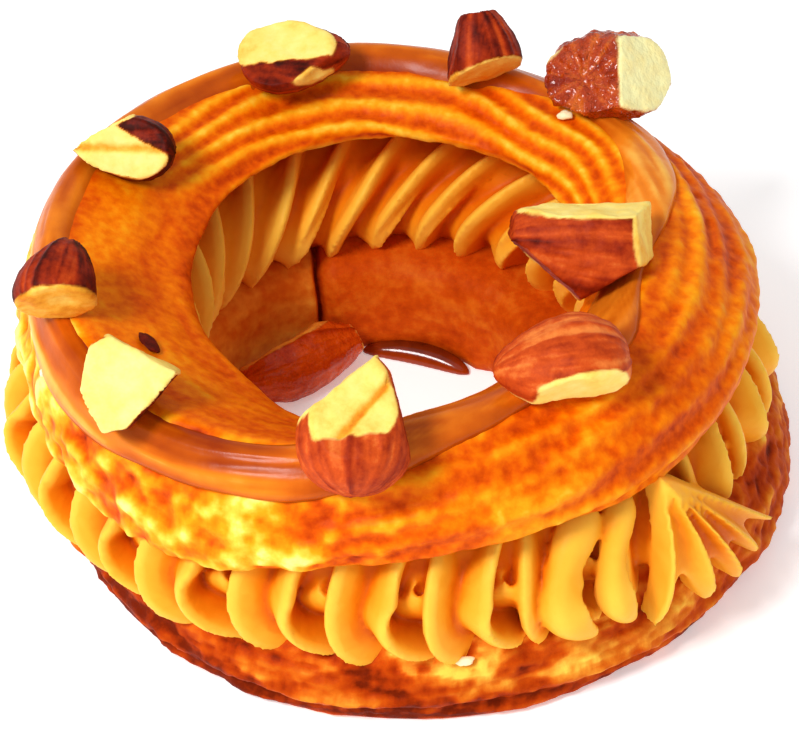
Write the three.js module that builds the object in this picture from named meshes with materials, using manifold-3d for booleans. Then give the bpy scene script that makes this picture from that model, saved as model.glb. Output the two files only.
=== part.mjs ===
// A Paris-Brest for one: a ring of choux pastry split across, filled with one piped coil of praline
// cream and closed with its own lid. Chopped roasted almonds stand on the lid, and one piece has
// fallen into the hole. Millimetres, +Z up. The origin lies on the resting plane, under the middle
// of the pastry's box, and the side that shows the fallen almond best faces -Y.
import * as THREE from 'three';
import { mergeVertices } from 'three/addons/utils/BufferGeometryUtils.js';
import Module from 'manifold-3d';

// Driving dimensions.
const SEAT_GAP = 0.3; // between pieces that rest on each other

const BASE_RADIUS = 45;
const BASE_HEIGHT = 11.6;
const BASE_FLAT_SIDE = { bearing: -158, inset: 4, spread: 42 };
const HOLE = { x: -3.5, y: -0.5, radius: 19.2, flare: 1.4 };

const LID_MIDDLE = { x: -1.5, y: -3 };
const LID_RADIUS = 41;
const LID_BULGE = { bearing: -125, out: 1.6, drop: 3.5, spread: 30 };
const LID_EDGE_HEIGHT = 22.6;
const LID_EDGE_TILT = { bearing: -45, rise: 2 };
const CROWN = { x: -4.5, y: -3, radius: 32.5, height: 35.4 };
const CROWN_SAG = { bearing: -112, out: 3, drop: 1.6, spread: 45 };
const LID_MOUTH = { x: -1.2, y: -2.8, radius: 21.9, height: 29.4 };
const LID_MOUTH_TILT = { bearing: 80, rise: 2.3 };
const LID_MOUTH_SAG = { bearing: -97, out: 2.2, drop: 1.2, spread: 32 };

const SWIRLS = 24; // loops of the piped coil
const SWIRL_DEPTH = 0.18; // of the section's half width, at the valleys between two loops
const SWIRL_LAG = 0.07; // radians that a loop's outermost point lags behind its top and bottom
const SWIRL_CROWDING = { bearing: -90, share: 0.15 }; // loops lie closer together at the front
const CREAM_MIDDLE = { x: -0.1, y: -0.8 };
const CREAM_RADIUS = 43.6;
const CREAM_LEFT = { bearing: 175, inset: 0.9, spread: 45 };
const CREAM_BELLY_HEIGHT = 15;
const CREAM_MOUTH = { x: -2, y: -1, radius: 20.8 };

const RING_STEPS = 60;
const STEPS_PER_SWIRL = 6;
const ALMOND_AROUND = 10;
const ALMOND_RINGS = 7;
const ALMOND_TAPER = 0.32; // how much narrower the pointed end is than the middle
const CUTTER = 60; // side of the block that takes a cut face off an almond

const LOOKS = {
  base: new THREE.MeshStandardMaterial({ color: 0xb5622a, roughness: 0.7, metalness: 0 }),
  lid: new THREE.MeshStandardMaterial({ color: 0xe08a2c, roughness: 0.6, metalness: 0 }),
  cream: new THREE.MeshStandardMaterial({ color: 0xe8b04a, roughness: 0.45, metalness: 0 }),
  almond: new THREE.MeshStandardMaterial({ color: 0x9a4a28, roughness: 0.55, metalness: 0 }),
};

const radians = THREE.MathUtils.degToRad;

// A smooth bump of height 1 at one bearing round the ring, in degrees.
function bump(angle, bearing, spread) {
  const turned = Math.atan2(Math.sin(angle - radians(bearing)), Math.cos(angle - radians(bearing)));
  return Math.exp(-((turned / radians(spread)) ** 2));
}

// The slow unevenness of hand-made pastry round the ring, between about -1 and 1.
function unevenness(angle, phase) {
  return 0.5 * Math.sin(3 * angle + phase) + 0.3 * Math.sin(5 * angle + 2 * phase)
    + 0.2 * Math.sin(11 * angle + 3 * phase);
}

// Each track is a closed line round the ring: a function of the angle that gives a point.
function track(middle, radius, height) {
  return (angle) => {
    const r = typeof radius === 'function' ? radius(angle) : radius;
    const z = typeof height === 'function' ? height(angle) : height;
    return new THREE.Vector3(middle.x + r * Math.cos(angle), middle.y + r * Math.sin(angle), z);
  };
}

// The track at a share of the way between two others, moved up by a rise.
function between(first, second, share, rise = 0) {
  return (angle) => {
    const point = first(angle).lerp(second(angle), share);
    point.z += rise;
    return point;
  };
}

// A closed ring skinned over tracks that go round its section: outer side, top, inner side, bottom.
function ringGeometry(tracks, steps, perTrack, shape = (point) => point) {
  const around = tracks.length * perTrack;
  const positions = [];
  const faces = [];
  for (let i = 0; i < steps; i += 1) {
    const angle = (2 * Math.PI * i) / steps;
    const corners = tracks.map((one) => one(angle));
    const section = new THREE.CatmullRomCurve3(corners, true, 'centripetal');
    const middle = corners.reduce((sum, one) => sum.add(one), new THREE.Vector3());
    middle.divideScalar(corners.length);
    for (let j = 0; j < around; j += 1) {
      positions.push(...shape(section.getPoint(j / around), middle, angle).toArray());
      const here = i * around + j;
      const along = i * around + ((j + 1) % around);
      const next = ((i + 1) % steps) * around + j;
      const across = ((i + 1) % steps) * around + ((j + 1) % around);
      faces.push(here, next, across, here, across, along);
    }
  }
  const geometry = new THREE.BufferGeometry();
  geometry.setAttribute('position', new THREE.Float32BufferAttribute(positions, 3));
  geometry.setIndex(faces);
  return geometry;
}

function named(name, geometry, look) {
  const mesh = new THREE.Mesh(geometry, look);
  mesh.name = name;
  return mesh;
}

// The lower half of the choux ring: a bellied wall, a flat seat for the cream and a flat underside.
function makeBase() {
  const middle = { x: 0, y: 0 };
  const outer = (inset, phase) => (angle) => BASE_RADIUS - inset + 0.5 * unevenness(angle, phase)
    - BASE_FLAT_SIDE.inset * bump(angle, BASE_FLAT_SIDE.bearing, BASE_FLAT_SIDE.spread);
  const inner = (widen, phase) => (angle) => HOLE.radius + widen + 0.4 * unevenness(angle, phase);
  const tracks = [
    track(middle, outer(1.4, 1), 0),
    track(middle, outer(0, 2), BASE_HEIGHT * 0.4),
    track(middle, outer(2.2, 3), BASE_HEIGHT * 0.78),
    track(middle, outer(7, 3), BASE_HEIGHT),
    track(HOLE, inner(HOLE.flare + 0.8, 4), BASE_HEIGHT * 0.93),
    track(HOLE, inner(0.5, 5), BASE_HEIGHT * 0.5),
    track(HOLE, inner(1.2, 5), -0.3),
    track(middle, outer(8, 1), -0.6),
  ];
  const flattened = (point) => point.setZ(THREE.MathUtils.clamp(point.z, 0, BASE_HEIGHT));
  return named('base', ringGeometry(tracks, RING_STEPS, 2, flattened), LOOKS.base);
}

// How far the lid has sagged at one angle, as a share of the deepest sag.
function sagged(angle, sag) {
  return bump(angle, sag.bearing, sag.spread);
}

// Radius and height of the lid's lower outer edge.
function lidRadius(angle) {
  return LID_RADIUS + LID_BULGE.out * sagged(angle, LID_BULGE) + 0.4 * unevenness(angle, 6);
}

function lidEdgeHeight(angle) {
  const tilt = LID_EDGE_TILT.rise * Math.cos(angle - radians(LID_EDGE_TILT.bearing));
  return LID_EDGE_HEIGHT + tilt - LID_BULGE.drop * sagged(angle, LID_BULGE) + 0.3 * unevenness(angle, 7);
}

// Radius and height of the rim round the hole.
function mouthRadius(angle) {
  return LID_MOUTH.radius + LID_MOUTH_SAG.out * sagged(angle, LID_MOUTH_SAG) + 0.4 * unevenness(angle, 8);
}

function mouthHeight(angle) {
  return LID_MOUTH.height + LID_MOUTH_TILT.rise * Math.cos(angle - radians(LID_MOUTH_TILT.bearing))
    - LID_MOUTH_SAG.drop * sagged(angle, LID_MOUTH_SAG);
}

// The lid's underside, from its outer edge to the mouth over the hole.
function undersideTracks() {
  const edge = track(LID_MIDDLE, (angle) => lidRadius(angle) - 0.7, lidEdgeHeight);
  const lip = track(LID_MIDDLE, (angle) => lidRadius(angle) - 2.8, (angle) => lidEdgeHeight(angle) + 1);
  const hollow = track(LID_MIDDLE, (angle) => lidRadius(angle) - 7.5, (angle) => lidEdgeHeight(angle) + 3.4);
  const mouth = track(LID_MOUTH, (angle) => mouthRadius(angle) + 1.6, (angle) => mouthHeight(angle) - 1.4);
  return { edge, lip, hollow, mouth, roof: between(hollow, mouth, 0.55, 0.8) };
}

// The upper half of the choux ring, domed, with its crown set off towards -X.
function makeLid() {
  const under = undersideTracks();
  const wall = track(LID_MIDDLE, lidRadius, (angle) => lidEdgeHeight(angle) + 3.6);
  const crown = track(CROWN,
    (angle) => CROWN.radius + CROWN_SAG.out * sagged(angle, CROWN_SAG) + 0.5 * unevenness(angle, 9),
    (angle) => CROWN.height - CROWN_SAG.drop * sagged(angle, CROWN_SAG) + 0.3 * unevenness(angle, 10));
  const mouthTop = track(LID_MOUTH, mouthRadius, mouthHeight);
  const tracks = [
    under.edge,
    wall,
    between(wall, crown, 0.3, 1.9),
    between(wall, crown, 0.68, 1.5),
    crown,
    between(crown, mouthTop, 0.35, 0.8),
    between(crown, mouthTop, 0.7, 0.9),
    mouthTop,
    under.mouth,
    under.roof,
    under.hollow,
    under.lip,
  ];
  return named('lid', ringGeometry(tracks, RING_STEPS, 2), LOOKS.lid);
}

// The cream: one coil piped round the ring, whose loops lean as they cross the outer and inner sides.
function makeCream() {
  const under = undersideTracks();
  const floor = BASE_HEIGHT + SEAT_GAP;
  const outer = (inset) => (angle) => CREAM_RADIUS - inset
    - CREAM_LEFT.inset * bump(angle, CREAM_LEFT.bearing, CREAM_LEFT.spread);
  const lowered = (one, drop) => between(one, one, 0, -drop);
  const tracks = [
    track(CREAM_MIDDLE, outer(1.2), BASE_HEIGHT * 0.97),
    track(CREAM_MIDDLE, outer(0), CREAM_BELLY_HEIGHT),
    lowered(under.edge, 1.1),
    lowered(under.lip, SEAT_GAP + 0.2),
    lowered(under.hollow, SEAT_GAP + 0.2),
    lowered(under.roof, SEAT_GAP + 0.2),
    lowered(under.mouth, SEAT_GAP + 0.3),
    track(CREAM_MOUTH, CREAM_MOUTH.radius + 0.5, 25.5),
    track(CREAM_MOUTH, CREAM_MOUTH.radius, 20.5),
    track(CREAM_MOUTH, CREAM_MOUTH.radius + 0.6, 16),
    track(CREAM_MOUTH, CREAM_MOUTH.radius + 1.6, floor),
    track(CREAM_MIDDLE, outer(4), floor),
  ];
  // Full on the back of each loop and cut in between two. A loop moves on round the ring as it turns.
  const swirled = (point, centre, angle) => {
    const away = point.clone().sub(centre);
    const turned = Math.atan2(away.z, away.x * Math.cos(angle) + away.y * Math.sin(angle));
    const crowding = SWIRL_CROWDING.share * Math.sin(angle - radians(SWIRL_CROWDING.bearing));
    const loops = SWIRLS * (angle + crowding + SWIRL_LAG * Math.cos(turned)) - turned;
    const ridge = Math.abs(Math.cos(loops / 2));
    return centre.clone().addScaledVector(away, 1 - SWIRL_DEPTH * (1 - ridge));
  };
  const geometry = ringGeometry(tracks, SWIRLS * STEPS_PER_SWIRL, 1, swirled);
  return named('cream', geometry, LOOKS.cream);
}

const library = await Module();
library.setup();

function toSolid(geometry) {
  const bare = geometry.clone();
  bare.deleteAttribute('normal');
  bare.deleteAttribute('uv');
  const merged = mergeVertices(bare);
  return new library.Manifold(new library.Mesh({
    numProp: 3,
    vertProperties: merged.attributes.position.array,
    triVerts: new Uint32Array(merged.index.array),
  }));
}

function toGeometry(solid) {
  const { vertProperties, triVerts } = solid.getMesh();
  const geometry = new THREE.BufferGeometry();
  geometry.setAttribute('position', new THREE.Float32BufferAttribute(vertProperties, 3));
  geometry.setIndex(Array.from(triVerts));
  return geometry;
}

// A piece of almond: a kernel with one pointed end, turned, with flat cut faces. Each cut faces a
// direction and lies at a distance from the middle of the whole kernel.
function almondGeometry({ size, turn, cuts }) {
  const kernel = new THREE.SphereGeometry(1, ALMOND_AROUND, ALMOND_RINGS).rotateZ(-Math.PI / 2);
  const places = kernel.getAttribute('position');
  for (let i = 0; i < places.count; i += 1) {
    const narrow = 1 - ALMOND_TAPER * places.getX(i);
    places.setXYZ(i, places.getX(i), places.getY(i) * narrow, places.getZ(i) * narrow);
  }
  kernel.scale(size[0] / 2, size[1] / 2, size[2] / 2);
  const [yaw, rise, roll] = turn.map(radians);
  kernel.applyMatrix4(new THREE.Matrix4().makeRotationFromEuler(new THREE.Euler(roll, -rise, yaw, 'ZYX')));
  let solid = toSolid(kernel);
  for (const { faces, at } of cuts) {
    const outward = new THREE.Vector3(...faces).normalize();
    const block = new THREE.BoxGeometry(CUTTER, CUTTER, CUTTER).translate(0, 0, at + CUTTER / 2);
    block.applyQuaternion(new THREE.Quaternion().setFromUnitVectors(new THREE.Vector3(0, 0, 1), outward));
    solid = solid.subtract(toSolid(block));
  }
  return toGeometry(solid);
}

// The pieces on the lid: place, size of the whole kernel (long, wide, thick), turn in degrees (yaw,
// rise of the pointed end, roll) and cut faces.
const ALMONDS = [
  { name: 'almond_back_left', place: [-12.2, 24], size: [13, 9.5, 7.5], turn: [10, 0, 0],
    cuts: [{ faces: [-0.15, -0.3, 0.94], at: 1.4 }, { faces: [0.6, -0.8, 0.1], at: 4.2 }] },
  { name: 'almond_left_back', place: [-31.2, 7.4], size: [12.5, 7.5, 6.5], turn: [170, 4, 0],
    cuts: [{ faces: [-0.2, -0.75, 0.62], at: 1.2 }, { faces: [-0.45, 0.55, 0.66], at: 2.4 }] },
  { name: 'almond_left', place: [-35.4, -18.8], size: [10.5, 8.2, 8], turn: [80, 20, 0],
    cuts: [{ faces: [0.1, -0.88, -0.47], at: 2.5 }] },
  { name: 'almond_left_front', place: [-27.2, -33.2], size: [17, 13, 8.5], turn: [60, 10, 0],
    cuts: [{ faces: [-0.05, -0.55, 0.83], at: 1.2 }, { faces: [-0.99, 0.09, 0.1], at: 4.5 },
      { faces: [0.45, 0.57, 0.68], at: 3.5 }, { faces: [0.76, -0.42, -0.5], at: 2.9 },
      { faces: [-0.87, -0.32, -0.38], at: 4.2 }, { faces: [0.1, -0.64, -0.77], at: 4.3 }] },
  { name: 'almond_front', place: [-4.4, -40.3], size: [15, 11, 10], turn: [88, 42, 0],
    cuts: [{ faces: [0, -0.4, 0.92], at: 3.2 }, { faces: [-0.63, 0.5, 0.59], at: 3.6 },
      { faces: [0.97, 0.15, 0.18], at: 4.4 }] },
  { name: 'almond_right_front', place: [16.2, -30.8], size: [14, 11, 8.5], turn: [190, 0, 0],
    cuts: [{ faces: [0.2, -0.86, -0.46], at: 3.3 }, { faces: [-0.1, 0, -1], at: 2.6 }] },
  { name: 'almond_right', place: [19.6, -10.4], size: [19, 13.5, 9], turn: [180, 6, -50],
    cuts: [{ faces: [0, 0.4, 0.92], at: 4 }, { faces: [0.93, -0.2, 0.3], at: 6.4 },
      { faces: [0, 0.77, -0.64], at: 1.8 }, { faces: [-0.98, 0, 0.2], at: 8 },
      { faces: [0.5, -0.56, -0.67], at: 4.8 }, { faces: [-0.66, -0.48, -0.57], at: 4.6 }] },
  { name: 'almond_back_right', place: [23, 20.2], size: [18, 13, 9], turn: [215, 12, 10],
    cuts: [{ faces: [0.68, -0.4, 0.62], at: 3.6 }, { faces: [-0.35, -0.5, 0.79], at: 2 },
      { faces: [-0.7, 0.3, 0.65], at: 5.6 }] },
  { name: 'almond_back', place: [9.4, 22.8], size: [11.4, 8.8, 7.6], turn: [110, 68, 0],
    cuts: [{ faces: [0.3, -0.72, -0.62], at: 2.6 }, { faces: [-0.98, 0, 0.2], at: 3.2 },
      { faces: [-0.2, 0.63, 0.75], at: 4 }] },
];

const FALLEN_ALMOND = { name: 'almond_fallen', place: [-11.4, 11.6, 3.9], size: [17.5, 8.4, 7],
  turn: [32, 0, 35], cuts: [{ faces: [0.85, 0.53, 0.1], at: 7.2 }] };

// Lowers an almond over its place until it stands the seat's gap above the lid.
function seatOnLid(almond, lid) {
  const places = almond.geometry.getAttribute('position');
  const down = new THREE.Vector3(0, 0, -1);
  const high = 2 * CROWN.height;
  let least = Infinity;
  for (let i = 0; i < places.count; i += 1) {
    const corner = new THREE.Vector3().fromBufferAttribute(places, i).add(almond.position);
    const ray = new THREE.Raycaster(new THREE.Vector3(corner.x, corner.y, high), down);
    const [hit] = ray.intersectObject(lid);
    least = hit ? Math.min(least, corner.z - hit.point.z) : least;
  }
  almond.position.z -= least - SEAT_GAP;
}

function makePastry() {
  const pastry = new THREE.Group();
  const lid = makeLid();
  pastry.add(makeBase(), makeCream(), lid);
  for (const piece of ALMONDS) {
    const almond = named(piece.name, almondGeometry(piece), LOOKS.almond);
    almond.position.set(...piece.place, CROWN.height);
    seatOnLid(almond, lid);
    pastry.add(almond);
  }
  const fallen = named(FALLEN_ALMOND.name, almondGeometry(FALLEN_ALMOND), LOOKS.almond);
  fallen.position.set(...FALLEN_ALMOND.place);
  pastry.add(fallen);
  const middle = new THREE.Box3().setFromObject(pastry, true).getCenter(new THREE.Vector3());
  pastry.position.set(-middle.x, -middle.y, 0);
  return pastry;
}

export default makePastry();
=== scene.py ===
"""Paris-brest: a choux ring split in two, filled with piped praline cream, glazed and strewn with almonds.

The shapes are worked out in millimetres and written to the meshes in metres.
Angles go round the ring's upright axis, anticlockwise from +X, in degrees where a name says bearing.
"""

import logging
import math
from dataclasses import dataclass
from enum import Enum
from typing import Any, Sequence

import bpy
import numpy as np
from mathutils import Euler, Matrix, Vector


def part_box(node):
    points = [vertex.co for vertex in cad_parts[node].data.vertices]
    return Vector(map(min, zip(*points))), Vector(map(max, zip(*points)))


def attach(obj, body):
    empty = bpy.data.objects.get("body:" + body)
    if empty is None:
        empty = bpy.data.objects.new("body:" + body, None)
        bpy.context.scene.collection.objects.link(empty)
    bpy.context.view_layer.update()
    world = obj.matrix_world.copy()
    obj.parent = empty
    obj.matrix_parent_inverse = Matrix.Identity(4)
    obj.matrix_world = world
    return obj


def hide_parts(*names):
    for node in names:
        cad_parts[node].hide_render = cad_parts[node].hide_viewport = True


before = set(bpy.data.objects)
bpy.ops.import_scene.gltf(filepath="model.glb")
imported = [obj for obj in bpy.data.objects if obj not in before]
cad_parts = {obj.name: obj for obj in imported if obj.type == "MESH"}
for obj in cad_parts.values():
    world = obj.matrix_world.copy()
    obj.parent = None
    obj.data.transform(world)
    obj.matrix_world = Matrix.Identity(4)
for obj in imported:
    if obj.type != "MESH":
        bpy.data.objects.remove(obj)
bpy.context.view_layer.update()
LOG = logging.getLogger("paris_brest")

Array = np.ndarray
# A stretch of the ring: where it begins and ends, and how wide its soft ends are, in degrees.
Stretch = tuple[float, float, float]
MM = 0.001
TURN = 2.0 * math.pi


# ---------------------------------------------------------------- numbers

def srgb(code: str) -> tuple[float, float, float, float]:
    """Turns a colour written as an sRGB hex code into linear light.

    Args:
        code: Six hex digits with a leading hash.

    Returns:
        Red, green and blue in linear light, and an alpha of one.
    """
    parts = [int(code[i:i + 2], 16) / 255.0 for i in (1, 3, 5)]
    linear = [p / 12.92 if p <= 0.04045 else ((p + 0.055) / 1.055) ** 2.4 for p in parts]
    return (linear[0], linear[1], linear[2], 1.0)


def bump(angle: Array, bearing: float, spread: float) -> Array:
    """A smooth hump round the ring.

    Args:
        angle: Angles in radians.
        bearing: Where the hump is highest, in degrees.
        spread: How far it reaches to each side, in degrees.

    Returns:
        Values from 0 to 1.
    """
    away = (np.degrees(angle) - bearing + 180.0) % 360.0 - 180.0
    return np.exp(-((away / spread) ** 2))


def sector(angle: Array, start: float, end: float, blur: float = 12.0) -> Array:
    """A stretch of the ring with soft ends.

    Args:
        angle: Angles in radians.
        start: Where the stretch begins, in degrees.
        end: Where it ends, going anticlockwise, in degrees.
        blur: Width of each soft end, in degrees.

    Returns:
        1 inside the stretch, 0 outside it.
    """
    middle = (start + end) / 2.0
    half = (end - start) / 2.0
    away = np.abs((np.degrees(angle) - middle + 180.0) % 360.0 - 180.0)
    return ease((half - away) / blur + 0.5)


def ease(share: Array) -> Array:
    """A smooth step from 0 to 1."""
    held = np.clip(share, 0.0, 1.0)
    return held * held * (3.0 - 2.0 * held)


def unevenness(angle: Array, phase: float) -> Array:
    """The hand-piped wobble that every edge of the ring has, between about -1 and 1."""
    waves = ((0.5, 3, 1), (0.3, 5, 2), (0.2, 11, 3))
    return sum(share * np.sin(count * angle + late * phase) for share, count, late in waves)


def unit(vectors: Array) -> Array:
    """The same vectors, each of length one."""
    return vectors / np.maximum(np.linalg.norm(vectors, axis=-1, keepdims=True), 1e-9)


class LatticeNoise:
    """Smooth random values in space, the same on every run."""

    SIDE = 64

    def __init__(self, seed: int) -> None:
        """Fills the lattice with seeded random numbers."""
        self.table = np.random.default_rng(seed).random((self.SIDE,) * 3)

    def at(self, points: Array, pitch: Sequence[float] | float) -> Array:
        """Reads the noise.

        Args:
            points: Rows of three coordinates in millimetres.
            pitch: Size of one lump in millimetres, for all axes or for each.

        Returns:
            One value for each point, from 0 to 1.
        """
        scaled = points / np.asarray(pitch, float) + 17.3
        low = np.floor(scaled).astype(int)
        part = ease(scaled - low)
        total = np.zeros(len(points))
        for corner in range(8):
            step = np.array([corner & 1, corner >> 1 & 1, corner >> 2 & 1])
            weight = np.prod(np.where(step, part, 1.0 - part), axis=1)
            cell = (low + step) % self.SIDE
            total += weight * self.table[cell[:, 0], cell[:, 1], cell[:, 2]]
        return total

    def layered(self, points: Array, pitch: Sequence[float] | float, layers: int = 3) -> Array:
        """Several sizes of lump together.

        Args:
            points: Rows of three coordinates in millimetres.
            pitch: Size of the largest lump.
            layers: How many sizes, each half the one before.

        Returns:
            One value for each point, from 0 to 1.
        """
        total = np.zeros(len(points))
        weight = 0.0
        for layer in range(layers):
            share = 0.55 ** layer
            total += share * self.at(points + 7.7 * layer, np.asarray(pitch, float) / 2.0 ** layer)
            weight += share
        return total / weight


# ---------------------------------------------------------------- mesh helpers

def deselect_all() -> None:
    """Leaves nothing selected and no mesh in edit mode."""
    if bpy.context.object and bpy.context.object.mode != "OBJECT":
        bpy.ops.object.mode_set(mode="OBJECT")
    bpy.ops.object.select_all(action="DESELECT")


def choose(piece: bpy.types.Object) -> None:
    """Makes one piece the only one selected and active."""
    deselect_all()
    piece.select_set(True)
    bpy.context.view_layer.objects.active = piece


def points_of(piece: bpy.types.Object) -> Array:
    """A mesh's vertices in millimetres."""
    flat = np.empty(len(piece.data.vertices) * 3)
    piece.data.vertices.foreach_get("co", flat)
    return flat.reshape(-1, 3) / MM


def normals_of(piece: bpy.types.Object) -> Array:
    """A mesh's vertex normals."""
    flat = np.empty(len(piece.data.vertices) * 3)
    piece.data.vertices.foreach_get("normal", flat)
    return flat.reshape(-1, 3)


def move_points(piece: bpy.types.Object, points: Array) -> None:
    """Writes a mesh's vertices from millimetres."""
    piece.data.vertices.foreach_set("co", (points * MM).astype(np.float32).ravel())
    piece.data.update()


def paint(piece: bpy.types.Object, name: str, values: Array) -> None:
    """Keeps one number for each vertex, which a finish reads by its name."""
    layer = piece.data.attributes.new(name, "FLOAT", "POINT")
    layer.data.foreach_set("value", np.clip(values, 0.0, 1.0).astype(np.float32))


def use_modifier(piece: bpy.types.Object, kind: str, **settings: Any) -> None:
    """Adds a modifier, sets it and applies it.

    Args:
        piece: The mesh to change.
        kind: The modifier's type.
        settings: Its properties by name.
    """
    choose(piece)
    modifier = piece.modifiers.new(kind.lower(), kind)
    for name, value in settings.items():
        setattr(modifier, name, value)
    bpy.ops.object.modifier_apply(modifier=modifier.name)


def smoothed(piece: bpy.types.Object, rounds: int) -> Array:
    """Where each vertex would lie on a blunter surface.

    Args:
        piece: The mesh to read.
        rounds: How many times each vertex moves to the middle of its neighbours.

    Returns:
        The blunter surface's points in millimetres.
    """
    ends = np.empty(len(piece.data.edges) * 2, int)
    piece.data.edges.foreach_get("vertices", ends)
    ends = ends.reshape(-1, 2)
    points = points_of(piece)
    count = np.maximum(np.bincount(ends.ravel(), minlength=len(points)), 1)
    for _ in range(rounds):
        total = np.empty_like(points)
        for axis in range(3):
            there = np.bincount(ends[:, 0], points[ends[:, 1], axis], len(points))
            back = np.bincount(ends[:, 1], points[ends[:, 0], axis], len(points))
            total[:, axis] = there + back
        points = 0.3 * points + 0.7 * total / count[:, None]
    return points


def hollowness(piece: bpy.types.Object, rounds: int, depth: float) -> Array:
    """How far each vertex lies in a fold of the surface.

    Args:
        piece: The mesh to read.
        rounds: How wide the folds are that count.
        depth: The depth in millimetres that counts as a full fold.

    Returns:
        0.5 on plain surface, up to 1 in folds and down to 0 on crests.
    """
    rise = np.sum((smoothed(piece, rounds) - points_of(piece)) * normals_of(piece), axis=1)
    return np.clip(0.5 + 0.5 * rise / depth, 0.0, 1.0)


def dress(
    piece: bpy.types.Object, name: str, finish: bpy.types.Material, nodes: Sequence[str] = (),
) -> bpy.types.Object:
    """Names a finished piece, gives it its finish and fastens it to the part.

    Args:
        piece: The finished mesh.
        name: Its name in the table of pieces.
        finish: The material it wears.
        nodes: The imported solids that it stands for.

    Returns:
        The same piece.
    """
    choose(piece)
    piece.name = name
    piece.data.name = name
    piece.data.materials.clear()
    piece.data.materials.append(finish)
    bpy.ops.object.shade_smooth()
    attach(piece, "root")
    if nodes:
        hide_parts(*nodes)
    LOG.info("%s: %d faces", name, len(piece.data.polygons))
    return piece


# ---------------------------------------------------------------- finishes

def add_node(
    tree: bpy.types.NodeTree, kind: str, inputs: dict[Any, Any] | None = None,
    stops: Sequence[tuple[float, str]] = (), **settings: Any,
) -> bpy.types.Node:
    """Adds one node with its settings and links.

    Args:
        tree: The material's nodes.
        kind: The node's type.
        inputs: Values or sockets for its inputs, by name or number.
        stops: For a colour ramp, its places and hex colours.
        settings: The node's own properties.

    Returns:
        The new node.
    """
    node = tree.nodes.new(kind)
    for name, value in settings.items():
        setattr(node, name, value)
    for key, value in (inputs or {}).items():
        if isinstance(value, bpy.types.NodeSocket):
            tree.links.new(value, node.inputs[key])
        else:
            node.inputs[key].default_value = value
    for number, (place, code) in enumerate(stops):
        elements = node.color_ramp.elements
        stop = elements[number] if number < 2 else elements.new(place)
        stop.position = place
        stop.color = srgb(code)
    return node


@dataclass(frozen=True)
class Finish:
    """What every finish has: a name, gloss and a fine roughness of the surface."""

    name: str
    roughness: float
    ior: float = 1.45
    coat: float = 0.0
    grain: float = 0.5
    relief: float = 0.25
    shine: float = 0.25

    def start(self) -> tuple[bpy.types.Material, bpy.types.NodeTree, bpy.types.Node, bpy.types.Node]:
        """Makes the material with its shader and its fine relief.

        Returns:
            The material, its nodes, its shader and the node with the object's coordinates.
        """
        material = bpy.data.materials.new(self.name)
        material.use_nodes = True
        tree = material.node_tree
        tree.nodes.clear()
        place = add_node(tree, "ShaderNodeTexCoord")
        fine = add_node(tree, "ShaderNodeTexNoise", {
            "Vector": place.outputs["Object"], "Scale": 1.0 / (self.grain * MM), "Detail": 3.0,
            "Roughness": 0.6})
        raised = add_node(tree, "ShaderNodeBump", {
            "Strength": self.relief, "Distance": self.grain * MM, "Height": fine.outputs[0]})
        shader = add_node(tree, "ShaderNodeBsdfPrincipled", {
            "Roughness": self.roughness, "IOR": self.ior, "Coat Weight": self.coat, "Coat Roughness": 0.15,
            "Specular IOR Level": self.shine, "Normal": raised.outputs["Normal"]})
        add_node(tree, "ShaderNodeOutputMaterial", {"Surface": shader.outputs["BSDF"]})
        return material, tree, shader, place


@dataclass(frozen=True)
class AttributeFinish(Finish):
    """A finish whose colour follows a number kept on each vertex, with finer mottling on top."""

    layer: str = "toast_and_painted_light"
    stops: tuple[tuple[float, str], ...] = ()
    mottle_size: float = 1.2
    mottle: float = 0.12

    def material(self) -> bpy.types.Material:
        """Builds the material: the vertex number shifted by noise goes through a colour ramp."""
        material, tree, shader, place = self.start()
        base = add_node(tree, "ShaderNodeAttribute", attribute_name=self.layer)
        noise = add_node(tree, "ShaderNodeTexNoise", {
            "Vector": place.outputs["Object"], "Scale": 1.0 / (self.mottle_size * MM), "Detail": 4.0})
        shift = add_node(tree, "ShaderNodeMapRange", {
            "Value": noise.outputs[0], "From Min": 0.3, "From Max": 0.7, "To Min": -self.mottle,
            "To Max": self.mottle})
        level = add_node(
            tree, "ShaderNodeMath", {0: base.outputs["Fac"], 1: shift.outputs[0]}, operation="ADD")
        colour = add_node(tree, "ShaderNodeValToRGB", {"Fac": level.outputs[0]}, self.stops)
        tree.links.new(colour.outputs["Color"], shader.inputs["Base Color"])
        return material


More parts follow.
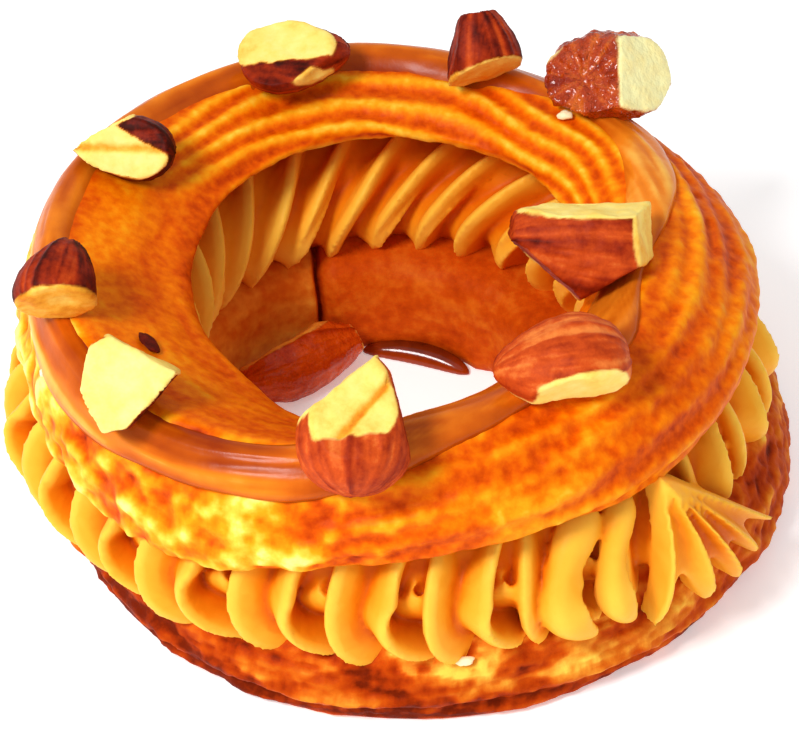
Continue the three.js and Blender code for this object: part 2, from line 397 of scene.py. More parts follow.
@dataclass(frozen=True)
class AlmondFinish(Finish):
    """Roasted almond: a papery brown skin where it is whole, pale kernel where it is broken."""

    skin_stops: tuple[tuple[float, str], ...] = ()
    flesh_stops: tuple[tuple[float, str], ...] = ()
    skin_roughness: float = 0.55
    flesh_roughness: float = 0.5
    flesh_relief: float = 0.4
    blotch: float = 0.16
    blotch_size: float = 1.6

    def material(self) -> bpy.types.Material:
        """Builds the material: the vertex number "flesh" picks kernel or skin."""
        material, tree, shader, place = self.start()
        flesh = add_node(tree, "ShaderNodeAttribute", attribute_name="flesh")
        streak = add_node(tree, "ShaderNodeAttribute", attribute_name="streak")
        noise = add_node(tree, "ShaderNodeTexNoise", {
            "Vector": place.outputs["Object"], "Scale": 1.0 / (self.blotch_size * MM), "Detail": 5.0,
            "Roughness": 0.65})
        spread = add_node(tree, "ShaderNodeMapRange", {
            "Value": noise.outputs[0], "From Min": 0.3, "From Max": 0.7, "To Min": -self.blotch,
            "To Max": self.blotch})
        level = add_node(
            tree, "ShaderNodeMath", {0: streak.outputs["Fac"], 1: spread.outputs[0]}, operation="ADD")
        skin = add_node(tree, "ShaderNodeValToRGB", {"Fac": level.outputs[0]}, self.skin_stops)
        kernel = add_node(tree, "ShaderNodeValToRGB", {"Fac": level.outputs[0]}, self.flesh_stops)
        mixed = add_node(tree, "ShaderNodeMix", {
            0: flesh.outputs["Fac"], 6: skin.outputs["Color"], 7: kernel.outputs["Color"]}, data_type="RGBA")
        gloss = add_node(tree, "ShaderNodeMapRange", {
            "Value": flesh.outputs["Fac"], "To Min": self.skin_roughness, "To Max": self.flesh_roughness})
        tree.links.new(mixed.outputs[2], shader.inputs["Base Color"])
        tree.links.new(gloss.outputs[0], shader.inputs["Roughness"])
        strength = add_node(tree, "ShaderNodeMapRange", {
            "Value": flesh.outputs["Fac"], "To Min": self.relief,
            "To Max": min(self.relief, self.flesh_relief)})
        tree.links.new(strength.outputs[0], shader.inputs["Normal"].links[0].from_node.inputs["Strength"])
        return material


class Finishes:
    """All the finishes of the pastry, each built once."""

    def __init__(self) -> None:
        """Builds every material."""
        # Choux pastry, egg-washed and baked: satin, orange to chestnut where browned; the number it reads
        # also holds painted highlight, yellow on the crests and on the outer left, and painted shade in the
        # grooves and at the mouth.
        self.lid_choux = AttributeFinish(
            "baked_choux_egg_washed", roughness=0.45, shine=0.06, relief=0.12, layer="toast_and_painted_light", mottle=0.1,
            stops=((0.0, "#fff08a"), (0.18, "#ffd045"), (0.38, "#fca214"), (0.58, "#f27802"),
                   (0.75, "#dc5400"), (0.9, "#b43400"), (1.0, "#6e1c00"))).material()
        # The lower half stood on the oven tray: duller, browner, with a dark foot.
        self.base_choux = AttributeFinish(
            "baked_choux_tray_side", roughness=0.5, shine=0.04, relief=0.2, layer="toast_and_painted_light", mottle=0.09,
            stops=((0.0, "#ffd250"), (0.22, "#f09c30"), (0.42, "#da6e16"), (0.62, "#c64c06"),
                   (0.82, "#a83402"), (1.0, "#701c00"))).material()
        # Praline butter cream: satin and smooth, golden; painted shade makes it deeper orange in its folds
        # and under its loops, and painted light makes it paler on the inner left.
        self.cream = AttributeFinish(
            "praline_butter_cream", roughness=0.4, shine=0.08, grain=0.8, relief=0.03, layer="painted_fold_shade",
            mottle=0.02, stops=((0.0, "#ffc644"), (0.3, "#fbac2a"), (0.5, "#f08c12"), (0.7, "#d86404"),
                                (1.0, "#942600"))).material()
        # Poured caramel fondant: tan, opaque, set with a soft shine.
        self.glaze = AttributeFinish(
            "caramel_fondant_glaze", roughness=0.28, coat=0.08, grain=2.0, relief=0.04, shine=0.1,
            layer="depth", mottle_size=3.0, mottle=0.08,
            stops=((0.0, "#ffbe50"), (0.28, "#ec821a"), (0.6, "#c85a08"), (1.0, "#983202"))).material()
        # Roasted almond: a dry, papery, furrowed skin, and a pale satin kernel.
        self.almond = AlmondFinish(
            "roasted_almond", roughness=0.55, shine=0.12, grain=0.4, relief=0.12, skin_stops=(
                (0.0, "#ee8238"), (0.3, "#cc4c14"), (0.6, "#9c2a06"), (0.85, "#661202"), (1.0, "#3c0800")),
            flesh_stops=((0.0, "#ffee94"), (0.4, "#ffdb6c"), (0.75, "#f2aa32"), (1.0, "#d87614"))).material()
        # The same almond tossed in caramel, which set hard in small glossy lumps.
        self.caramelised = AlmondFinish(
            "caramelised_almond", roughness=0.2, coat=0.5, grain=1.0, relief=1.2, shine=0.2, skin_stops=(
                (0.0, "#e06a18"), (0.3, "#be4008"), (0.6, "#962402"), (1.0, "#520c00")), flesh_stops=(
                (0.0, "#fff8b4"), (0.45, "#ffe48c"), (0.8, "#f8ac44"), (1.0, "#c8600c")),
            skin_roughness=0.14, flesh_roughness=0.45).material()
        # Almond under a thick clear coat of caramel.
        self.candied = AlmondFinish(
            "candied_almond", roughness=0.25, coat=0.2, grain=1.4, relief=0.4, shine=0.12, skin_stops=(
                (0.0, "#d2500a"), (0.4, "#b03404"), (0.7, "#8a1e00"), (1.0, "#4e0a00")), flesh_stops=(
                (0.0, "#ffd060"), (0.5, "#f09c34"), (1.0, "#b84c08")),
            skin_roughness=0.18, flesh_roughness=0.4).material()
        # Dark caramel syrup: a glossy bead.
        self.syrup = AttributeFinish(
            "dark_caramel_syrup", roughness=0.1, coat=0.4, grain=2.0, relief=0.02, shine=0.2, layer="depth",
            stops=((0.0, "#9a3408"), (1.0, "#400c00"))).material()
        # Crumb of the almond kernel: nearly white, dull.
        self.crumb = AttributeFinish(
            "almond_crumb", roughness=0.5, grain=0.3, relief=0.2, layer="depth", stops=(
                (0.0, "#fffbe0"), (1.0, "#ffe9a0"))).material()


# ---------------------------------------------------------------- the ring's surfaces

@dataclass
class RingSizes:
    """The driving sizes of the three ring pieces, in millimetres and degrees."""

    base_radius: float = 45.0
    base_height: float = 11.6
    base_flat: tuple[float, float, float] = (-158.0, 4.0, 42.0)
    hole: tuple[float, float] = (-3.5, -0.5)
    hole_radius: float = 19.2
    lid_middle: tuple[float, float] = (-1.5, -3.0)
    lid_radius: float = 41.0
    lid_bulge: tuple[float, float, float, float] = (-125.0, 1.6, 3.5, 30.0)
    lid_edge_height: float = 22.6
    lid_edge_tilt: tuple[float, float] = (-45.0, 2.0)
    crown_middle: tuple[float, float] = (-4.5, -3.0)
    crown_radius: float = 32.5
    crown_height: float = 35.4
    crown_sag: tuple[float, float, float, float] = (-112.0, 3.0, 1.6, 45.0)
    mouth_middle: tuple[float, float] = (-1.2, -2.8)
    mouth_radius: float = 21.9
    mouth_height: float = 29.4
    mouth_tilt: tuple[float, float] = (80.0, 2.3)
    mouth_sag: tuple[float, float, float, float] = (-97.0, 2.2, 1.2, 32.0)


class RingSurface:
    """A rounded surface lofted through tracks that run round the ring."""

    def __init__(self, sizes: RingSizes, weights: Sequence[float], shift: Array) -> None:
        """Keeps the sizes, how closely each track's span is meshed, and the ring's place."""
        self.sizes = sizes
        self.weights = np.asarray(weights, float)
        self.shift = shift

    def tracks(self, angle: Array) -> Array:
        """The section's points, one row for each track, for every angle."""
        raise NotImplementedError

    @staticmethod
    def track(angle: Array, middle: Sequence[float], radius: Array | float, height: Array | float) -> Array:
        """Points on a circle round a middle of its own.

        Args:
            angle: Angles in radians.
            middle: The circle's middle, x and y.
            radius: Its radius at each angle.
            height: Its height at each angle.

        Returns:
            One point for each angle.
        """
        x = middle[0] + radius * np.cos(angle)
        y = middle[1] + radius * np.sin(angle)
        return np.stack([x, y, height + 0.0 * angle], axis=-1)

    @staticmethod
    def between(first: Array, second: Array, share: float, rise: float) -> Array:
        """Points part of the way from one track to another, and higher by the rise."""
        return first + (second - first) * share + np.array([0.0, 0.0, rise])

    def share_of(self, turn: Array) -> Array:
        """Turns an even walk round the section, 0 to 1, into a track number with its fraction."""
        ends = np.concatenate([[0.0], np.cumsum(self.weights)]) / self.weights.sum()
        return np.interp(turn % 1.0, ends, np.arange(len(ends)))

    def at(self, angle: Array, share: Array) -> Array:
        """Points of the surface.

        Args:
            angle: Where round the ring, in radians.
            share: Where round the section, as a track number with its fraction.

        Returns:
            Points in millimetres.
        """
        tracks = self.tracks(angle)
        count = len(tracks)
        span = np.floor(share).astype(int)
        part = (share - span)[:, None]
        here = np.arange(len(angle))
        p0, p1, p2, p3 = (tracks[(span + step) % count, here] for step in (-1, 0, 1, 2))
        gaps = [np.sqrt(np.maximum(np.linalg.norm(b - a, axis=1, keepdims=True), 1e-6))
                for a, b in ((p0, p1), (p1, p2), (p2, p3))]
        leave = (p2 - p1) + gaps[1] * ((p1 - p0) / gaps[0] - (p2 - p0) / (gaps[0] + gaps[1]))
        reach = (p2 - p1) + gaps[1] * ((p3 - p2) / gaps[2] - (p3 - p1) / (gaps[1] + gaps[2]))
        square = part * part
        cube = square * part
        return ((2 * cube - 3 * square + 1) * p1 + (cube - 2 * square + part) * leave
                + (3 * square - 2 * cube) * p2 + (cube - square) * reach) + self.shift

    def normal_at(self, angle: Array, share: Array) -> Array:
        """The outward directions of the surface at the same places as at()."""
        small = 0.01
        round_ring = self.at(angle + small, share) - self.at(angle - small, share)
        round_section = self.at(angle, share + small) - self.at(angle, share - small)
        return unit(np.cross(round_ring, round_section))

    def walked(self, angle: Array, start: float, share: Array, steps: int = 24) -> Array:
        """Distance along the section from a track, in millimetres, negative before it.

        Args:
            angle: Where round the ring.
            start: The track number that the walk starts from.
            share: The track number with its fraction that it goes to.
            steps: How many straight steps measure the way.

        Returns:
            The distance for each place.
        """
        total = np.zeros(len(angle))
        last = self.at(angle, np.full(len(angle), start))
        for step in range(1, steps + 1):
            here = self.at(angle, start + (share - start) * step / steps)
            total += np.linalg.norm(here - last, axis=1)
            last = here
        return total * np.sign(share - start)


class BaseSurface(RingSurface):
    """The lower half of the ring: a low wall, a flat top and the lower part of the hole."""

    def outer(self, angle: Array, inset: float, phase: float) -> Array:
        """The outer radius, less an inset."""
        bearing, depth, spread = self.sizes.base_flat
        worn = depth * bump(angle, bearing, spread)
        return self.sizes.base_radius - inset + 0.5 * unevenness(angle, phase) - worn

    def inner(self, angle: Array, widening: float, phase: float) -> Array:
        """The hole's radius, widened."""
        return self.sizes.hole_radius + widening + 0.4 * unevenness(angle, phase)

    def tracks(self, angle: Array) -> Array:
        """The eight tracks of the lower half."""
        tall = self.sizes.base_height
        middle = (0.0, 0.0)
        hole = self.sizes.hole
        return np.stack([
            self.track(angle, middle, self.outer(angle, 1.4, 1), 0.0),
            self.track(angle, middle, self.outer(angle, 0.0, 2), 0.4 * tall),
            self.track(angle, middle, self.outer(angle, 2.2, 3), 0.78 * tall),
            self.track(angle, middle, self.outer(angle, 7.0, 3), tall),
            self.track(angle, hole, self.inner(angle, 2.2, 4), 0.93 * tall),
            self.track(angle, hole, self.inner(angle, 0.5, 5), 0.5 * tall),
            self.track(angle, hole, self.inner(angle, 1.2, 5), -0.3),
            self.track(angle, middle, self.outer(angle, 8.0, 1), -0.6),
        ])


class LidSurface(RingSurface):
    """The upper half of the ring: an arched shell from its outer edge over the crown to its mouth."""

    CROWN_TRACK = 4
    MOUTH_TRACK = 7

    def tracks(self, angle: Array) -> Array:
        """The twelve tracks of the lid, up its wall, over its crown and back under."""
        s = self.sizes
        bearing, out, drop, spread = s.lid_bulge
        bulge = bump(angle, bearing, spread)
        radius = s.lid_radius + out * bulge + 0.4 * unevenness(angle, 6)
        tilt = s.lid_edge_tilt[1] * np.cos(angle - math.radians(s.lid_edge_tilt[0]))
        edge_height = s.lid_edge_height + tilt - drop * bulge + 0.3 * unevenness(angle, 7)
        crown_sag = bump(angle, s.crown_sag[0], s.crown_sag[3])
        mouth_sag = bump(angle, s.mouth_sag[0], s.mouth_sag[3])
        mouth_radius = s.mouth_radius + s.mouth_sag[1] * mouth_sag + 0.4 * unevenness(angle, 8)
        mouth_tilt = s.mouth_tilt[1] * np.cos(angle - math.radians(s.mouth_tilt[0]))
        mouth_height = s.mouth_height + mouth_tilt - s.mouth_sag[2] * mouth_sag
        edge = self.track(angle, s.lid_middle, radius - 0.7, edge_height)
        lip = self.track(angle, s.lid_middle, radius - 2.8, edge_height + 1.0)
        hollow = self.track(angle, s.lid_middle, radius - 7.5, edge_height + 3.4)
        mouth_under = self.track(angle, s.mouth_middle, mouth_radius + 1.6, mouth_height - 1.4)
        roof = self.between(hollow, mouth_under, 0.55, 0.8)
        wall = self.track(angle, s.lid_middle, radius, edge_height + 3.6)
        crown = self.track(
            angle, s.crown_middle, s.crown_radius + s.crown_sag[1] * crown_sag + 0.5 * unevenness(angle, 9),
            s.crown_height - s.crown_sag[2] * crown_sag + 0.3 * unevenness(angle, 10))
        mouth = self.track(angle, s.mouth_middle, mouth_radius, mouth_height)
        return np.stack([
            edge, wall, self.between(wall, crown, 0.3, 1.9), self.between(wall, crown, 0.68, 1.5), crown,
            self.between(crown, mouth, 0.35, 0.8), self.between(crown, mouth, 0.7, 0.9), mouth,
            mouth_under, roof, hollow, lip,
        ])


def ring_shift(sizes: RingSizes) -> Array:
    """How far the ring's own middle lies from the part's origin.

    Args:
        sizes: The ring's sizes.

    Returns:
        The shift in millimetres that lays the lower half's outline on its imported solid.
    """
    plain = BaseSurface(sizes, [1.0] * 8, np.zeros(3))
    angle = np.linspace(0.0, TURN, 144, endpoint=False)
    outline = plain.at(angle, np.full(len(angle), 1.0))
    low, high = (np.array(corner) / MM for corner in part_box("base"))
    shift = (low + high) / 2.0 - (outline.min(0) + outline.max(0)) / 2.0
    shift[2] = 0.0
    return shift


def ring_mesh(around: int, across: int, cuts: int) -> tuple[bpy.types.Object, Array, Array]:
    """A closed ring of fine faces, ready to be shaped.

    Args:
        around: Faces round the ring before they are cut up.
        across: Faces round the section before they are cut up.
        cuts: How many cuts subdivide each edge.

    Returns:
        The mesh, each vertex's angle round the ring in radians, and its walk round the section from 0 to 1.
    """
    deselect_all()
    wide, thick = 0.033, 0.01
    bpy.ops.mesh.primitive_torus_add(
        major_segments=around, minor_segments=across, major_radius=wide, minor_radius=thick)
    piece = bpy.context.object
    bpy.ops.object.mode_set(mode="EDIT")
    bpy.ops.mesh.select_all(action="SELECT")
    bpy.ops.mesh.subdivide(number_cuts=cuts)
    bpy.ops.object.mode_set(mode="OBJECT")
    x, y, z = (points_of(piece) * MM).T
    turn = np.arctan2(z, np.hypot(x, y) - wide) / TURN
    return piece, np.arctan2(y, x), turn % 1.0


# ---------------------------------------------------------------- the pieces

@dataclass
class ChouxBase:
    """The lower half of the baked ring."""

    surface: BaseSurface
    finish: bpy.types.Material
    around: int = 213
    across: int = 37
    wrinkle: float = 1.43
    lump: float = 0.9
    pit: float = 0.6
    ledge_height: float = 0.33
    crease_height: float = 0.2
    seam_bearing: float = 108.0
    seam_depth: float = 1.6
    hump: float = 0.9
    # Painted shade on the lamp-lit left side, and painted light on the right side, away from the lamp.
    painted_shade_side: Stretch = (-185.0, -110.0, 20.0)
    painted_light_side: Stretch = (-70.0, 60.0, 30.0)
    yellow_side: Stretch = (-85.0, -40.0, 20.0)
    seed: int = 11

    def build(self) -> bpy.types.Object:
        """Meshes the base, wrinkles its crust, browns it and paints light and shade on it."""
        piece, angle, turn = ring_mesh(self.around, self.across, 2)
        share = self.surface.share_of(turn)
        points = self.surface.at(angle, share)
        normals = self.surface.normal_at(angle, share)
        noise = LatticeNoise(self.seed)
        lumps = noise.layered(points, (5.0, 5.0, 3.0))
        folds = noise.layered(points, (7.0, 7.0, 1.5), 3)
        pits = noise.layered(points, 1.1, 2)
        outside = ease((3.3 - share) / 0.6) * ease(share / 0.3)
        inside = ease((share - 3.3) / 0.3) * ease((6.6 - share) / 0.4)
        tall = self.surface.sizes.base_height
        over_ledge = points[:, 2] - self.ledge_height * tall - 0.8 * (lumps - 0.5)
        ledge = np.exp(-((over_ledge / 0.7) ** 2)) * outside
        crease = np.exp(-(((points[:, 2] - self.crease_height * tall) / 0.5) ** 2)) * outside
        seam = bump(angle, self.seam_bearing, 1.1) * inside
        lift = outside * (self.wrinkle * (folds - 0.5) + self.lump * (lumps - 0.5) + self.pit * (pits - 0.5))
        lift += outside * (0.5 * ledge - 0.45 * crease)
        lift += inside * (0.5 * (lumps - 0.5) + 0.35 * (folds - 0.5)) - self.seam_depth * seam
        lift += inside * self.hump * sector(angle, self.seam_bearing - 62.0, self.seam_bearing - 3.0, 6.0)
        points = points + normals * lift[:, None]
        points[:, 2] = np.maximum(points[:, 2], 0.0)
        move_points(piece, points)
        foot = ease((0.16 * tall - points[:, 2]) / 1.2 + 0.5) * outside
        patch = noise.layered(points + 40.0, (6.0, 6.0, 3.0), 3)
        yellow = ease((patch - 0.52) / 0.1) * ease((points[:, 2] - 0.3 * tall) / 2.0)
        toast_and_painted_light = 0.68 - 1.2 * (folds - 0.5) - 0.6 * (pits - 0.5) - 0.5 * (patch - 0.5)
        # Painted shade: darker along the sunk crease and on the lamp-lit left side.
        toast_and_painted_light += 0.3 * foot + 0.25 * crease + 0.06 * sector(angle, *self.painted_shade_side)
        toast_and_painted_light -= 0.5 * yellow * (bump(angle, -93.0, 8.0) + 0.6 * sector(angle, *self.yellow_side))
        # Painted light: paler on the right side, away from the lamp.
        toast_and_painted_light -= 0.12 * sector(angle, *self.painted_light_side)
        # Inner wall: paler from the seam round to the left, painted light where little light reaches into
        # the hole; darker in the seam, painted shade in the crack.
        wall = 0.62 - 0.26 * sector(angle, self.seam_bearing, 250.0, 8.0) + 0.5 * seam
        wall -= 0.4 * (patch - 0.5) + 0.25 * (folds - 0.5)
        toast_and_painted_light += inside * (wall - toast_and_painted_light)
        paint(piece, "toast_and_painted_light", toast_and_painted_light)
        return dress(piece, "choux_base", self.finish, ["base"])


@dataclass
class ChouxLid:
    """The upper half of the baked ring: ridged by the piping nozzle, blistered at the front left."""

    surface: LidSurface
    finish: bpy.types.Material
    around: int = 240
    across: int = 42
    ridge_pitch: float = 2.9
    ridge_height: float = 0.55
    blister_height: float = 1.9
    fluted_outside: Stretch = (-98.0, 100.0, 26.0)
    fluted_inside: Stretch = (15.0, 150.0, 30.0)
    blistered_outside: Stretch = (-205.0, -94.0, 24.0)
    smooth_inside: Stretch = (140.0, 300.0, 30.0)
    calm_outside: Stretch = (-50.0, 75.0, 30.0)
    # The stretch of the mouth that painted shade darkens where it meets the cream.
    painted_mouth_shade: Stretch = (128.0, 195.0, 20.0)
    mean_radius: float = 35.5
    dark: float = 0.72
    seed: int = 23

    def relief(self, angle: Array, share: Array, points: Array) -> tuple[Array, Array]:
        """The crust's height, and its browning with painted light and shade.

        Args:
            angle: Where round the ring.
            share: Where round the section.
            points: The plain surface's points.

        Returns:
            The lift in millimetres and the browning with painted light and shade, from 0 to 1.
        """
        noise = LatticeNoise(self.seed)
        crown = float(self.surface.CROWN_TRACK)
        down = -self.surface.walked(angle, crown, np.minimum(share, 8.0))
        sheet = np.stack([self.mean_radius * np.cos(angle), self.mean_radius * np.sin(angle), down], axis=1)
        on_top = ease((8.2 - share) / 0.6)
        outer_side = ease(down / 2.0 + 0.5)
        inner_side = 1.0 - outer_side
        sway = noise.layered(sheet, (22.0, 22.0, 9.0), 2) - 0.5
        ridge = 0.5 + 0.5 * np.cos(TURN * (down + (3.0 + 2.5 * inner_side) * sway) / self.ridge_pitch)
        outer_flutes = outer_side * sector(angle, *self.fluted_outside)
        inner_flutes = inner_side * sector(angle, *self.fluted_inside)
        dashes = noise.layered(sheet + 31.0, (12.0, 12.0, 2.6), 2) - 0.5
        patches = noise.layered(points + 17.0, 8.0, 2) - 0.5
        blister = noise.layered(points, 2.8, 2) - 0.5
        blistered = outer_side * sector(angle, *self.blistered_outside)
        fine = noise.layered(points + 60.0, 1.3, 2) - 0.5
        streaks = noise.layered(sheet + 90.0, (14.0, 14.0, 3.2), 3) - 0.5
        smooth = inner_side * sector(angle, *self.smooth_inside)
        fluted = outer_flutes * (0.8 * (ridge - 0.5) + 1.5 * dashes) + inner_flutes * (ridge - 0.5)
        lift = self.ridge_height * fluted + 0.6 * sway + 0.6 * streaks
        lift += blistered * self.blister_height * blister + (1.0 - 0.6 * smooth) * 0.4 * fine
        calm = outer_side * sector(angle, *self.calm_outside)
        browning_and_painted_light = 0.62 + 0.05 * calm
        # Painted highlight and shade: the ridge terms make the flutes paler on their crests and darker in
        # their grooves; dashes and streaks are the crust's own mottling.
        browning_and_painted_light -= outer_flutes * (0.16 * (ridge - 0.5) + (0.65 - 0.2 * calm) * dashes)
        browning_and_painted_light -= inner_flutes * (0.5 * (ridge - 0.42) + 0.25 * streaks)
        browning_and_painted_light -= blistered * (0.1 + 1.4 * blister)
        browning_and_painted_light -= (0.4 - 0.4 * smooth - 0.22 * (inner_flutes + calm) + 0.3 * blistered) * fine
        browning_and_painted_light += smooth * (0.03 - 0.5 * streaks) + (0.6 - 0.35 * calm) * patches * outer_flutes
        # Painted highlight: paler on the outer left side, which faces the lamp.
        browning_and_painted_light -= 0.3 * outer_side * bump(angle, -170.0, 20.0)
        # Painted shade: darker near the mouth on the inner left, where the lid meets the cream.
        mouth_shade = ease((share - 6.1) / 0.7) * sector(angle, *self.painted_mouth_shade)
        browning_and_painted_light += 0.3 * mouth_shade * (0.6 + 2.5 * streaks)
        browning_and_painted_light = np.where(browning_and_painted_light > self.dark, self.dark + 0.5 * (browning_and_painted_light - self.dark), browning_and_painted_light)
        lift *= on_top * (1.0 - 0.65 * np.exp(-(((share - crown) / 0.9) ** 2)))
        return lift, browning_and_painted_light

    def build(self) -> bpy.types.Object:
        """Meshes the lid, raises its crust, browns it and paints light and shade on it."""
        piece, angle, turn = ring_mesh(self.around, self.across, 2)
        share = self.surface.share_of(turn)
        points = self.surface.at(angle, share)
        normals = self.surface.normal_at(angle, share)
        lift, browning_and_painted_light = self.relief(angle, share, points)
        move_points(piece, points + normals * lift[:, None])
        paint(piece, "toast_and_painted_light", browning_and_painted_light)
        return dress(piece, "choux_lid", self.finish, ["lid"])


@dataclass
class PralineCream:
    """The filling: one thick rope from an open star nozzle, coiled round the ring."""

    sizes: RingSizes
    shift: Array
    finish: bpy.types.Material
    loops: int = 26
    middle: tuple[float, float] = (-0.9, -1.2)
    coil_radius: float = 32.3
    coil_height: float = 16.8
    reach: float = 5.0
    rise: float = 3.0
    lean: float = 0.2
    rope: float = 6.9
    groove: float = 0.46
    teeth: int = 6
    crest_turn: float = 45.0
    sharpness: float = 3.0
    lag: float = 0.17
    twist: float = 0.092
    crowding: float = 0.06
    core: float = 7.7
    slumped: Stretch = (-175.0, -45.0, 18.0)
    thinned: Stretch = (-46.0, -28.0, 8.0)
    # Where painted light makes the inner side of the cream paler.
    painted_light_inside: Stretch = (125.0, 215.0, 20.0)
    lowest: float = 7.5
    voxel: float = 0.38
    most_faces: int = 185000
    fan_root: tuple[float, float, float] = (-51.5, 40.2, 25.2)
    fan_tips: tuple[tuple[float, float, float], ...] = (
        (-54.5, 44.0, 7.2), (-45, 44.4, 7.2), (-38.5, 44.8, 6.8), (-33, 44.8, 7.4), (-26.5, 44.8, 8.2))
    fan_sizes: tuple[float, ...] = (1.25, 0.95, 1.0, 0.7, 0.85)
    fan_knee: float = 45.6
    laps: tuple[tuple[float, float, float, float], ...] = (
        (-61.0, -75.0, -63.5, 2.4), (-55.0, -65.0, -57.5, 1.9))
    lap_places: tuple[tuple[float, float], ...] = ((38.5, 23.0), (45.6, 15.4), (43.4, 9.4))
    lap_thickness: float = 2.4
    lap_lean: float = 24.0

    def path(self, turn: Array) -> Array:
        """The rope's middle line.

        Args:
            turn: Where along the rope, in turns of the whole ring.

        Returns:
            Points in millimetres.
        """
        walk = TURN * turn
        angle = walk + self.crowding * np.sin(walk + math.pi / 2.0)
        coil = self.loops * walk
        held_back = self.lag * (1.0 + 0.4 * bump(angle, -52.0, 26.0)) * np.cos(coil)
        angle = angle - held_back - self.twist * np.sin(coil)
        wobble = 1.0 + 0.08 * np.sin(5.3 * coil / self.loops * 3.0 + 1.0)
        slump = sector(angle, *self.slumped) * (0.5 + 0.5 * np.cos(coil))
        radius = self.coil_radius + self.reach * np.cos(coil) * wobble + 1.3 * slump
        height = self.coil_height + self.rise * np.sin(coil) - 1.8 * slump
        height -= self.lean * self.reach * np.cos(coil)
        x = self.middle[0] + radius * np.cos(angle)
        y = self.middle[1] + radius * np.sin(angle)
        return np.stack([x, y, height], axis=1) + self.shift

    @staticmethod
    def spot(place: tuple[float, float, float]) -> Array:
        """A point from its bearing in degrees, its distance from the ring's axis and its height."""
        bearing, radius, height = place
        turned = math.radians(bearing)
        return np.array([radius * math.cos(turned), radius * math.sin(turned), height])

    @staticmethod
    def bowed(root: Array, knee: Array, tip: Array, walk: Array) -> tuple[Array, Array, Array]:
        """A bowed line from a root towards a knee and on to a tip.

        Args:
            root: Where it starts.
            knee: Where it is drawn to.
            tip: Where it ends.
            walk: How far along it each point lies, 0 to 1, as a column.

        Returns:
            Each point's place on the line, the line's direction there, and the way out from the ring's axis.
        """
        middle = (1.0 - walk) ** 2 * root + 2.0 * walk * (1.0 - walk) * knee + walk ** 2 * tip
        forward = unit(2.0 * (1.0 - walk) * (knee - root) + 2.0 * walk * (tip - knee))
        outward = unit(middle * np.array([1.0, 1.0, 0.0]))
        outward = unit(outward - forward * np.sum(outward * forward, axis=1, keepdims=True))
        return middle, forward, outward

    def fan(self) -> bpy.types.Object:
        """The torn end of the piping: a shell whose ribs run from one root and part at their tips."""
        deselect_all()
        bpy.ops.mesh.primitive_cube_add(size=2.0)
        piece = bpy.context.object
        bpy.ops.object.mode_set(mode="EDIT")
        bpy.ops.mesh.select_all(action="SELECT")
        bpy.ops.mesh.subdivide(number_cuts=60)
        bpy.ops.object.mode_set(mode="OBJECT")
        across, out, along = (0.5 + 0.5 * axis for axis in (points_of(piece) * MM).T)
        places = across * (len(self.fan_tips) - 1)
        numbers = np.arange(len(self.fan_tips))
        bearing, radius, height = (np.interp(places, numbers, column) for column in zip(*self.fan_tips))
        size = np.interp(places, numbers, self.fan_sizes)
        phase = TURN * places
        rib = (0.5 + 0.5 * np.cos(phase + 0.7 * np.sin(phase))) ** 1.3
        walk = (along * (0.7 + 0.3 * rib ** 0.4))[:, None]
        turned = np.radians(bearing)
        tip = np.stack([radius * np.cos(turned), radius * np.sin(turned), height], axis=1)
        root = self.spot(self.fan_root)
        bent = np.radians(0.55 * self.fan_root[0] + 0.45 * bearing)
        knee = np.stack([self.fan_knee * np.cos(bent), self.fan_knee * np.sin(bent),
                         0.62 * root[2] + 0.38 * height], axis=1)
        middle, _, outward = self.bowed(root, knee, tip, walk)
        stout = np.sqrt(along + 0.05) * (1.0 - along ** 8) + 0.12
        stout = stout * (1.0 - 0.6 * (2.0 * across - 1.0) ** 8)
        thick = out * stout * size * (0.2 + 2.4 * rib) - (1.0 - out) * 2.5
        move_points(piece, middle + outward * thick[:, None])
        return piece

    def lap(self, top: float, bow: float, foot: float, half_width: float) -> bpy.types.Object:
        """One lap of the rope that sagged out between the lid and the base.

        Args:
            top: Bearing of its upper end, in degrees.
            bow: Bearing that its middle is drawn towards.
            foot: Bearing of its lower end.
            half_width: Half its width in millimetres.

        Returns:
            The lap, a closed mesh.
        """
        deselect_all()
        bpy.ops.mesh.primitive_uv_sphere_add(segments=32, ring_count=64, radius=1.0)
        piece = bpy.context.object
        across, out, along = (points_of(piece) * MM).T
        fill = np.sqrt((1.0 - along ** 6) / np.maximum(1.0 - along ** 2, 1e-4))
        fill = fill * (0.92 + 0.18 * np.sin(5.0 * along))
        walk = (0.5 + 0.5 * along)[:, None]
        root, knee, tip = (self.spot((bearing, *place)) for bearing, place in zip(
            (top, bow, foot), self.lap_places))
        middle, forward, outward = self.bowed(root, knee, tip, walk)
        left = np.cross(forward, outward)
        lean = math.radians(self.lap_lean)
        wide = (across * fill * half_width)[:, None] * (left * math.cos(lean) - outward * math.sin(lean))
        thick = (out * fill * self.lap_thickness * (0.6 + 0.4 * across))[:, None] * outward
        move_points(piece, middle + wide + thick)
        return piece

